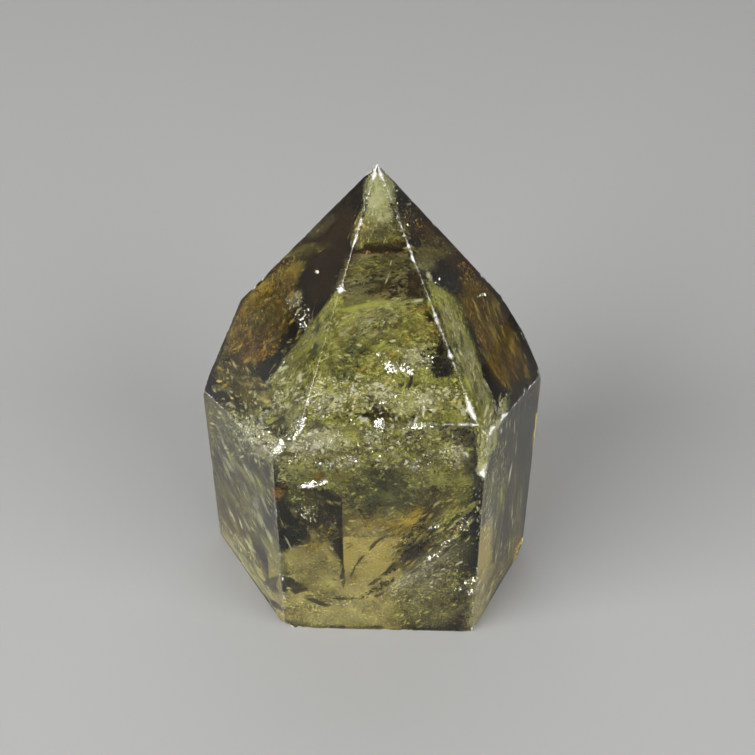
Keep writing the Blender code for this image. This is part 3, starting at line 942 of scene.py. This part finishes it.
def flakes_of(look, middle, half, lean, cover, streak, seed, bordered):
    """One patch's flakes, as Shoal takes them."""
    rng = np.random.default_rng(seed)
    stretch = min(1 + 0.5 * (streak - 1), 3)
    area = math.pi * half[0] * half[1] * PIXEL ** 2
    layers = -math.log(1 - cover) if cover < 0.99 else 3 + cover
    flake_area = FLAKE_FILL * stretch * (look.size * MM) ** 2
    count = int(1.25 * layers * look.share * area / flake_area) + 3
    r, turn = np.sqrt(rng.uniform(0, 1.5, count)), rng.uniform(0, 2 * math.pi, count)
    depth = (rng.uniform(*look.depth, count) + look.size * stretch) * MM
    x, y, grain = patch_frame(middle, half, lean, streak, r * np.cos(turn), r * np.sin(turn), depth, seed)
    rim = fractal(grain, rim_size(half), seed, 4)
    keep = rng.uniform(0, 0.25, count) < 1 - r + 1.3 * (rim - 0.5)
    if bordered:
        keep &= inside_border(x, y) > 0.5
    x, y, depth, grain = x[keep], y[keep], depth[keep], grain[keep]
    points, inner, normal = inside_at(x, y, depth)
    facing = -inner
    if look.finish == "glint":
        left = rng.uniform(size=len(points)) < 0.6
        facing = unit(facing + np.where(left[:, None], toward("left", normal), toward("right", normal)))
    tints = tint_of(look, grain, seed) * rng.uniform(0.85, 1.1, (len(points), 1))
    sizes = rng.lognormal(math.log(look.size), 0.5, len(points)).clip(*FLAKE_LIMITS) * MM
    return points, facing, sizes, tints, lean_direction(lean), stretch


VEIL_STEP, NARROW_VEIL_STEP = 2.8, 1.3  # pixels between the corners of a soft veil
NARROW_PATCH = 10  # pixels; patches with a smaller half width take the narrow step
SOFT_PIECES = 5
LARGE_PATCH = 300  # square pixels; larger patches have a second, deeper sheet
SHEET_REACH = 1.3  # how far a sheet reaches past its patch's rim, where the rim is at 1
MOST_COVER = 0.985
THINNEST = 0.004  # thinner parts of a sheet are left out
VEIL_THICK = 0.02 * MM
VEIL_CLEARANCE, SHARD_CLEARANCE = 0.12 * MM, 0.10 * MM  # the least quartz over them


class Veils:
    """Soft veils gathered for one piece: thin closed curved sheets that thin out towards their rims."""

    def __init__(self, name, material):
        self.name, self.material = name, material
        self.vertices, self.tints, self.thickness, self.polygons = [], [], [], []
        self.count = 0

    def add(self, look, middle, half, lean, cover, streak, seed, bordered):
        layers = 2 if half[0] * half[1] > LARGE_PATCH else 1
        for layer in range(layers):
            # Light passes the front and the back of each sheet.
            each = 1 - (1 - min(cover, MOST_COVER)) ** (0.5 / layers)
            level = (layer + 0.5) / layers
            self.add_sheet(look, middle, half, lean, each, streak, seed + 0.5 * layer, level, bordered)

    def add_sheet(self, look, middle, half, lean, cover, streak, seed, level, bordered):
        step = VEIL_STEP if min(half) > NARROW_PATCH else NARROW_VEIL_STEP
        nu, nv = (max(3, round(2 * SHEET_REACH * h / step)) for h in half)
        lines = (np.linspace(-SHEET_REACH, SHEET_REACH, n + 1) for n in (nu, nv))
        u, v = (g.ravel() for g in np.meshgrid(*lines, indexing="ij"))
        near, far = look.depth
        flat = np.full(len(u), (near + (far - near) * level) * MM)
        x, y, grain = patch_frame(middle, half, lean, streak, u, v, flat, seed)
        depth = flat + (fractal(grain, 2.5 * MM, int(seed) + 9, 3) - 0.5) * min(1.6, far - near) * MM
        points, inner, normal = inside_at(x, y, depth)
        rim = fractal(grain, rim_size(half), int(seed), 4)
        fade = np.clip((1.05 - np.hypot(u, v) + 1.1 * (rim - 0.5)) / 0.5, 0, 1)
        contrast = 4.5 / max(look.mottle, 1)
        mottling = contrast * (fractal(grain, 1.5 * MM, int(seed) + 3, 4) - 0.5)
        thickness = cover * fade * np.clip(1.0 - 0.07 * contrast + mottling, 0.04, 1.5)
        if bordered:
            thickness = thickness * inside_border(x, y)
        tints = tint_of(look, grain, int(seed))

        i, j = (g.ravel() for g in np.meshgrid(np.arange(nu), np.arange(nv), indexing="ij"))
        first, second = i * (nv + 1) + j, (i + 1) * (nv + 1) + j
        cells = np.stack([first, second, second + 1, first + 1], 1)
        good = (depth_inside(points) > VEIL_CLEARANCE)[cells].all(1)
        good &= np.ptp(normal[cells], axis=1).max(1) < SAME_FACE
        good &= thickness[cells].max(1) > THINNEST
        if good.any():
            used, cells = np.unique(cells[good], return_inverse=True)
            self.add_cells(points[used], inner[used], tints[used], thickness[used], cells.reshape(-1, 4))

    def add_cells(self, points, inner, tints, thickness, cells):
        """The front, the back, and a rim along the edges that only one cell has."""
        n = len(points)
        self.vertices.append(np.concatenate([points, points + inner * VEIL_THICK]))
        self.tints.append(np.tile(tints, (2, 1)))
        self.thickness.append(np.tile(thickness, 2))
        edges = {edge: True for cell in cells for edge in zip(cell, np.roll(cell, -1))}
        rims = [(a, a + n, b + n, b) for a, b in edges if (b, a) not in edges]
        for group in (cells, cells[:, ::-1] + n, np.array(rims)):
            self.polygons.append(group + self.count)
        self.count += 2 * n

    def build(self):
        mesh_piece(self.name, np.concatenate(self.vertices), np.concatenate(self.polygons), self.material,
                   tint=np.concatenate(self.tints), thickness=np.concatenate(self.thickness))


# Healed cracks with sharp outlines, their darkness a painted reflection of dark surroundings: the pixels
# around each.
LEAVES = {
    "leaf": ((264, 582), (271, 577), (279, 575.5), (276, 585), (279, 592), (272, 592)),
    "leaf, right": ((282.5, 576), (291, 578), (303, 585), (314, 592), (305, 591),
                    (295, 594), (288, 590), (283, 593)),
    "lower leaf": ((304, 598), (313, 598), (323, 602), (332, 606), (325, 607), (314, 603)),
    "corner leaf": ((268, 598), (276, 602), (286, 610), (282, 612), (273, 606)),
    "spindle": ((343.5, 563), (345, 572), (345.5, 582), (343.5, 589),
                (341.5, 584), (340, 578), (341.5, 570)),
    "upper arc": ((368, 552), (370, 546), (376, 540), (384, 536), (392, 533),
                  (385, 538), (378, 542), (372, 549)),
    "lower arc": ((367, 553), (361, 560), (355, 569), (351, 578), (349.5, 577), (353.5, 567), (360, 557)),
    "level crack": ((331, 598.5), (342, 597), (359, 598.5), (351, 600), (339, 600)),
    "level crack, right": ((373, 596), (379, 593), (385, 591.5), (384, 594), (376, 598)),
    "jagged crack, foot": ((378, 577), (385, 571), (391, 564), (396, 561),
                           (399, 563), (393, 568), (387, 575)),
    "jagged crack": ((397, 562), (402, 557), (404, 550), (409, 552), (407, 558), (403, 565)),
    "jagged crack, head": ((408, 553), (414, 546), (422, 541), (417, 549), (411, 556)),
    "twig": ((366, 586), (374, 580), (380, 577), (383, 578), (373, 585)),
    "vein": ((423, 564), (431, 559), (442, 551), (450, 545), (456, 542),
             (450, 549), (442, 556), (433, 562)),
    "vein, upper": ((424, 553), (432, 547), (441, 543), (433, 549)),
    "hollow, left": ((432, 359), (438, 357), (443, 362), (440, 369), (434, 367)),
    "hollow, right": ((444, 361), (450, 364), (454, 374), (448, 377), (443, 370)),
    "short crack": ((410, 374), (413, 375), (413, 383), (409, 390), (407, 387), (410, 381)),
}
LEAF_DEPTH = 0.5 * MM
LEAF_COVER, LEAF_RIM_COVER = 0.9, 0.55
LEAF_STEP = 1.2  # pixels between the corners of a leaf's ragged outline
LEAF_RAGGED = 3.2  # pixels that the noise of the outline is worth
# Painted dark reflection in the cracks: darkest at the rim, lighter towards the middle.
LEAF_MIDDLE, LEAF_RIM = np.array([0.09, 0.075, 0.04]), np.array([0.025, 0.02, 0.01])


def pixel_noise(places, size, seed, octaves):
    """Fractal noise around 0 at pixels."""
    return fractal(np.append(places * PIXEL, np.zeros((len(places), 1)), 1), size, seed, octaves) - 0.5


def leaf_outline(corners, seed):
    """The ragged outline of a leaf, in pixels."""
    sides = [(a, b - a, LEAF_STEP / max(np.hypot(*(b - a)), LEAF_STEP))
             for a, b in zip(corners, np.roll(corners, -1, 0))]
    line = np.concatenate([a + along * np.arange(0, 1, step)[:, None] for a, along, step in sides])
    outward = line - corners.mean(0)
    ragged = LEAF_RAGGED * pixel_noise(line, 0.5 * MM, 700 + seed, 3)
    return line + outward / np.hypot(*outward.T)[:, None] * ragged[:, None]


def add_leaves():
    """Thin closed curved sheets with ragged outlines, each a ring and a fan around its middle."""
    vertices, tints, sheer, polygons, first = [], [], [], [], 0
    for seed, pixels in enumerate(LEAVES.values()):
        corners = np.array(pixels, float)
        line = leaf_outline(corners, seed)
        halfway = (line + corners.mean(0)) / 2
        places = np.concatenate([line, halfway, [corners.mean(0)]])
        bulge = 0.5 * MM * pixel_noise(places, 1.5 * MM, 40, 2)
        front, inner, _ = inside_at(*places.T, LEAF_DEPTH + bulge)
        n, back = len(line), len(front)
        vertices.append(np.concatenate([front, front + inner * VEIL_THICK * 2]))
        sheer.append(np.tile(np.repeat([LEAF_RIM_COVER, LEAF_COVER], [n, n + 1]), 2))
        shade = np.concatenate([np.zeros(n), pixel_noise(halfway, 0.8 * MM, 9, 2) + 0.5, [0.8]])[:, None]
        tints.append(np.tile(LEAF_RIM + (LEAF_MIDDLE - LEAF_RIM) * shade, (2, 1)))
        for i in range(n):
            j = (i + 1) % n
            for face in ((i, j, n + j, n + i), (n + i, n + j, 2 * n)):
                polygons.append([first + k for k in face])
                polygons.append([first + back + k for k in face[::-1]])
            polygons.append([first + j, first + i, first + back + i, first + back + j])
        first += 2 * back
    material = flake_material("crack_leaf_painted_dark", 0.5, sheer=True)
    mesh_piece("crack_leaves_painted_dark", np.concatenate(vertices), polygons, material,
               tint=np.concatenate(tints), thickness=np.concatenate(sheer))


# Irregular shards, scattered: their looks, the middle, the half sizes and the lean of the place in pixels
# and degrees, how many, how long and wide they are, how far their own lean strays, and how crisp their
# outlines are.
SHARDS = (
    ("frosty row", (PALE_VEIL, PALE_VEIL, FROST, OLIVE_VEIL, OLIVE_VEIL, GREEN_VEIL, BROWN, KHAKI),
     (375, 402), (104, 20), 0, 400, (5.5, 2.8), 90, 0.9),
    ("frosty row, bright", (FROST,),
     (352, 398), (62, 13), 0, 60, (3.6, 2.0), 90, 1.0),
    ("cloud, middle", (OLIVE_VEIL, OLIVE_VEIL, KHAKI, PALE_VEIL, GREEN_VEIL, MOSS, OCHRE),
     (378, 356), (58, 38), 10, 260, (8.0, 3.2), 50, 0.5),
    ("cloud, top", (OLIVE_VEIL, PALE_VEIL, KHAKI, BROWN, MOSS),
     (380, 314), (42, 14), 16, 90, (10.0, 2.2), 22, 0.4),
    ("cloud, left", (OLIVE_VEIL, OLIVE_VEIL, PALE_VEIL, MOSS, GREEN_VEIL),
     (304, 360), (60, 24), 53, 170, (8.0, 2.8), 35, 0.4),
    ("cloud, left foot", (PALE_VEIL, OLIVE_VEIL, MOSS, BROWN, FROST),
     (276, 398), (34, 20), 30, 110, (6.0, 2.8), 70, 0.7),
    ("band", (OLIVE_VEIL, OLIVE_VEIL, PALE_VEIL, MOSS, BROWN, GREEN_VEIL, KHAKI, FROST),
     (375, 450), (98, 27), 0, 380, (5.5, 2.8), 90, 0.8),
    ("diagonal", (OLIVE_VEIL, BROWN, SMOKE, OCHRE, KHAKI, MOSS),
     (430, 532), (52, 34), 38, 150, (12.0, 3.0), 18, 0.2),
    ("foot, right", (MOSS, MIST, BROWN, KHAKI, OLIVE_VEIL),
     (430, 598), (40, 26), 20, 110, (8.0, 3.4), 60, 0.2),
    # Painted reflected light as shards: the khaki foot, lit by the base's reflection.
    ("foot, left", (KHAKI, KHAKI, MOSS, OCHRE),
     (330, 592), (50, 28), 0, 50, (10.0, 3.0), 60, 0.1),
    # Painted shade as shards: the dark window, where the front face shows dark surroundings.
    ("dark window", (GREEN_VEIL, MOSS, SMOKE, BROWN, GREEN_VEIL),
     (312, 517), (30, 28), -45, 90, (7.0, 3.2), 50, 0.3),
    ("dark window, pale", (PALE_VEIL, FROST),
     (306, 510), (16, 9), -40, 16, (3.5, 1.6), 60, 0.9),
    # Painted shade as shards: the dark olive, where the front face shows dark surroundings.
    ("dark olive", (GREEN_VEIL, BROWN, MOSS, GREEN_VEIL, OLIVE_VEIL),
     (376, 497), (40, 24), 0, 150, (8.0, 3.6), 60, 0.2),
    # Painted reflected light as shards: the golden fold, lit by the base's reflection.
    ("golden fold", (OCHRE, KHAKI, MOSS, BROWN),
     (374, 540), (30, 34), 0, 60, (12.0, 3.0), 30, 0.1),
    ("left side, top", (PALE_VEIL, FROST, SMOKE, OLIVE_VEIL, BROWN, MOSS),
     (240, 434), (42, 24), -35, 190, (6.0, 2.8), 50, 0.6),
    ("left side", (SMOKE, SMOKE, GREEN_VEIL, MOSS, OLIVE_VEIL, BROWN, PALE_VEIL),
     (246, 494), (76, 30), -64, 170, (34.0, 4.5), 6, 0.0),
    ("left side, fine", (PALE_VEIL, OLIVE_VEIL, SMOKE),
     (246, 490), (70, 26), -64, 90, (13.0, 1.6), 8, 0.2),
    # Painted reflected light as shards: the pale foot of the left side.
    ("left side, foot", (KHAKI, PALE_VEIL, MOSS, MILKY_REFLECTION),
     (246, 566), (42, 16), -54, 50, (20.0, 4.0), 8, 0.0),
    ("right side, fork", (PALE_VEIL, OLIVE_VEIL, FROST, BROWN),
     (491, 428), (32, 11), 76, 70, (10.0, 2.2), 12, 0.4),
    ("right side", (SMOKE, SMOKE, GREEN_VEIL, MOSS, BROWN, OLIVE_VEIL),
     (512, 480), (92, 20), 85, 120, (40.0, 3.2), 3, 0.0),
    ("right side, fine", (PALE_VEIL, OLIVE_VEIL, SMOKE),
     (506, 480), (84, 14), 85, 50, (18.0, 1.4), 4, 0.2),
    # Painted reflected light as shards: the pale foot of the right side.
    ("right side, foot", (KHAKI, OCHRE, MOSS, PALE_VEIL),
     (492, 580), (42, 14), 64, 50, (20.0, 3.2), 6, 0.0),
    ("left amber", (OCHRE, AMBER, RUST, BROWN, MOSS),
     (264, 320), (48, 28), 52, 110, (14.0, 4.5), 35, 0.1),
    ("left wing", (OCHRE, KHAKI, SMOKE, BROWN, MOSS, SMOKE),
     (238, 384), (32, 20), -30, 80, (13.0, 5.0), 50, 0.3),
    ("left wing, flecks", (PALE_VEIL, OLIVE_VEIL, KHAKI),
     (236, 392), (30, 16), -30, 36, (4.0, 2.0), 60, 0.8),
    ("right amber", (RUST, AMBER, AMBER, BROWN, OCHRE),
     (500, 345), (48, 20), -66, 110, (24.0, 4.0), 8, 0.0),
    ("right wedge", (OLIVE_VEIL, PALE_VEIL, KHAKI, GREEN_VEIL),
     (464, 352), (58, 11), -70, 90, (12.0, 2.6), 14, 0.3),
    ("grey streaks", (MIST, BROWN, SMOKE, MOSS),
     (378, 274), (34, 13), 8, 26, (18.0, 3.0), 8, 0.0),
    ("scratches in the band", (PALE_VEIL,),
     (376, 268), (30, 26), 60, 9, (6.0, 0.9), 40, 1.0),
    ("tip", (KHAKI, BROWN, MOSS),
     (386, 216), (22, 12), -60, 14, (10.0, 2.2), 16, 0.1),
    ("tip, scratches", (PALE_VEIL,),
     (376, 232), (14, 10), 50, 6, (4.0, 0.9), 40, 1.0),
)
SHARD_DEPTH = (0.15 * MM, 0.8 * MM)
SHARD_TILT = 0.25 * MM  # how much farther one end of a shard may lie than the other
SHARD_CORNERS = 7
SHARD_COVER = 0.85


def shard_pixels(rng, middle, half, lean, number, size, spread):
    """Pixels of the corners and the middle of each shard of a place, and how far along itself each lies."""
    radius, around = np.sqrt(rng.random(number)), rng.random(number) * 2 * math.pi
    along, across = radius * np.cos(around) * half[0], radius * np.sin(around) * half[1]
    a = math.radians(lean)
    x, y = turned(*middle, along, across, math.cos(a), math.sin(a))
    own = (a + np.radians(rng.normal(0, 0.6, number) * spread))[:, None]
    scale = np.exp(rng.normal(0, 0.35, number))[:, None]
    jitter = rng.uniform(-0.3, 0.3, (number, SHARD_CORNERS))
    turn = (np.arange(SHARD_CORNERS) + jitter) * 2 * math.pi / SHARD_CORNERS
    reach = rng.uniform(0.55, 1.15, (number, SHARD_CORNERS))
    centre = np.zeros((number, 1))
    u = np.concatenate([np.cos(turn) * reach, centre], 1) * (size[0] / 2 * scale)
    v = np.concatenate([np.sin(turn) * reach, centre], 1) * (size[1] / 2 * scale)
    return *turned(x[:, None], y[:, None], u, v, np.cos(own), np.sin(own)), u / size[0]


def shard_tints(rng, looks, number):
    """A tint between the two of one of the looks for each shard, with a shade for each of its vertices."""
    tint, other = (np.array(tints) for tints in zip(*((look.tint, look.other) for look in looks)))
    kind = rng.integers(0, len(looks), number)
    mix = rng.random((number, 1))
    colour = tint[kind] * mix + other[kind] * (1 - mix)
    return rng.uniform(0.85, 1.15, (number, 2 * (SHARD_CORNERS + 1), 1)) * colour[:, None]


def add_shards():
    """Thin closed shards, each a fan around its middle."""
    rng = np.random.default_rng(91)
    n = SHARD_CORNERS
    vertices, tints, sheer = [], [], []
    for _, looks, middle, half, lean, number, size, spread, crisp in SHARDS:
        x, y, along = shard_pixels(rng, middle, half, lean, number, size, spread)
        slope = rng.uniform(-1, 1, (number, 1)) * along * SHARD_TILT
        depth = rng.uniform(*SHARD_DEPTH, (number, 1)) + slope
        front, inner, normal = (np.reshape(values, (number, n + 1, 3))
                                for values in inside_at(x.ravel(), y.ravel(), depth.ravel()))
        good = (depth_inside(front.reshape(-1, 3)) > SHARD_CLEARANCE).reshape(number, n + 1).all(1)
        good &= np.ptp(normal, axis=1).max(1) < SAME_FACE
        tint = shard_tints(rng, looks, number)
        middle_cover = SHARD_COVER * rng.uniform(0.5, 1, (number, 1))
        rim_cover = middle_cover * crisp * rng.uniform(0.3, 1, (number, 1))
        cover = np.concatenate([rim_cover] * n + [middle_cover], 1)
        vertices.append(np.concatenate([front, front + inner * VEIL_THICK], 1)[good].reshape(-1, 3))
        tints.append(tint[good].reshape(-1, 3))
        sheer.append(np.tile(cover[good], 2).ravel())
    faces = []
    for i in range(n):
        j = (i + 1) % n
        faces += [(i, j, n), (n + 1 + j, n + 1 + i, 2 * n + 1), (j, i, n + 1 + i, n + 1 + j)]
    vertices = np.concatenate(vertices)
    firsts = range(0, len(vertices), 2 * (n + 1))
    polygons = [[first + k for k in face] for first in firsts for face in faces]
    # Beside the inclusions, the shards hold the painted shade and painted reflected light marked in SHARDS.
    mesh_piece("shards_1", vertices, polygons, flake_material("shard", 0.5, sheer=True),
               tint=np.concatenate(tints), thickness=np.concatenate(sheer))


def add_patches():
    """Every patch, as flakes and as soft veils, which are dealt out to a few pieces in turn."""
    shoals = {
        "veil": Shoal("veils", flake_material("fine_veil", 0.5), 0.12, 0.45, 12),
        "glint": Shoal("bright_facets", flake_material("bright_facet", 0.14, 1.0), 0.04, 0.13, 13),
    }
    # The veil flakes and soft veils carry the painted shade and painted reflected light of the patches so
    # marked.
    soft = flake_material("soft_veil", 0.6, sheer=True)
    veils = [Veils(f"soft_veils_{k + 1}", soft) for k in range(SOFT_PIECES)]
    for number, (_, look, middle, half, lean, cover, streak) in enumerate(CLOUD_PATCHES + PATCHES):
        patch = (look, middle, half, lean, cover, streak, 1000 + number, number < len(CLOUD_PATCHES))
        shoals[look.finish].add(*flakes_of(*patch))
        if look.share < 1 and look.finish == "veil":
            veils[number % SOFT_PIECES].add(*patch)
    for gathered in (*shoals.values(), *veils):
        gathered.build()


# ---------------------------------------------------------------- floor, camera, light

# Soft square lights: place, width and power, in metres and watts.
LIGHTS = {
    "left": ((-0.52, -0.40, 0.28), 0.60, 8.8),
    "right": ((0.52, -0.44, 0.24), 0.60, 6.0),
    "back": ((0.0, 0.85, 0.85), 1.20, 3.3),
}


FLOOR_COLOUR, FLOOR_ROUGHNESS, FLOOR_SIZE, FLOOR_DROP = (0.37, 0.37, 0.363, 1), 0.85, 3, 0.05 * MM
SKY = 0.24


def add_floor():
    m, _, shader = new_material("floor")
    shader.inputs["Base Color"].default_value = FLOOR_COLOUR
    shader.inputs["Roughness"].default_value = FLOOR_ROUGHNESS
    bpy.ops.mesh.primitive_plane_add(size=FLOOR_SIZE, location=(0, 0, -FLOOR_DROP))
    floor = bpy.context.object
    floor.name = "floor"
    floor.data.materials.append(m)


def add_camera():
    data = bpy.data.cameras.new("camera")
    data.sensor_width = 36
    data.lens = CAMERA_LENS_PX / IMAGE_SIZE * data.sensor_width
    data.clip_start = 0.005
    camera = bpy.data.objects.new("camera", data)
    bpy.context.scene.collection.objects.link(camera)
    camera.location = CAMERA_PLACE
    camera.rotation_euler = (math.pi / 2 - CAMERA_DOWN, 0, 0)
    bpy.context.scene.camera = camera


def add_light(name, place, size, power):
    data = bpy.data.lights.new(name, "AREA")
    data.size = size
    data.energy = power
    light = bpy.data.objects.new(name, data)
    bpy.context.scene.collection.objects.link(light)
    light.location = place
    light.rotation_euler = (-Vector(place)).to_track_quat("-Z", "Y").to_euler()


def add_studio():
    """A grey sky, the soft lights, and the bounces that light needs to get through the crystal."""
    world = bpy.data.worlds.new("world")
    bpy.context.scene.world = world
    world.use_nodes = True
    background = world.node_tree.nodes["Background"]
    background.inputs[0].default_value = (1, 1, 1, 1)
    background.inputs[1].default_value = SKY
    for name, (place, size, power) in LIGHTS.items():
        add_light(name, place, size, power)
    scene = bpy.context.scene
    scene.view_settings.view_transform = "Standard"
    scene.cycles.max_bounces = 24
    scene.cycles.transmission_bounces = 24
    scene.cycles.glossy_bounces = 16
    scene.cycles.diffuse_bounces = 12
    scene.cycles.transparent_max_bounces = 48


WornBody().build()
add_cloud()
add_patches()
add_leaves()
add_shards()
add_floor()
add_camera()
add_studio()
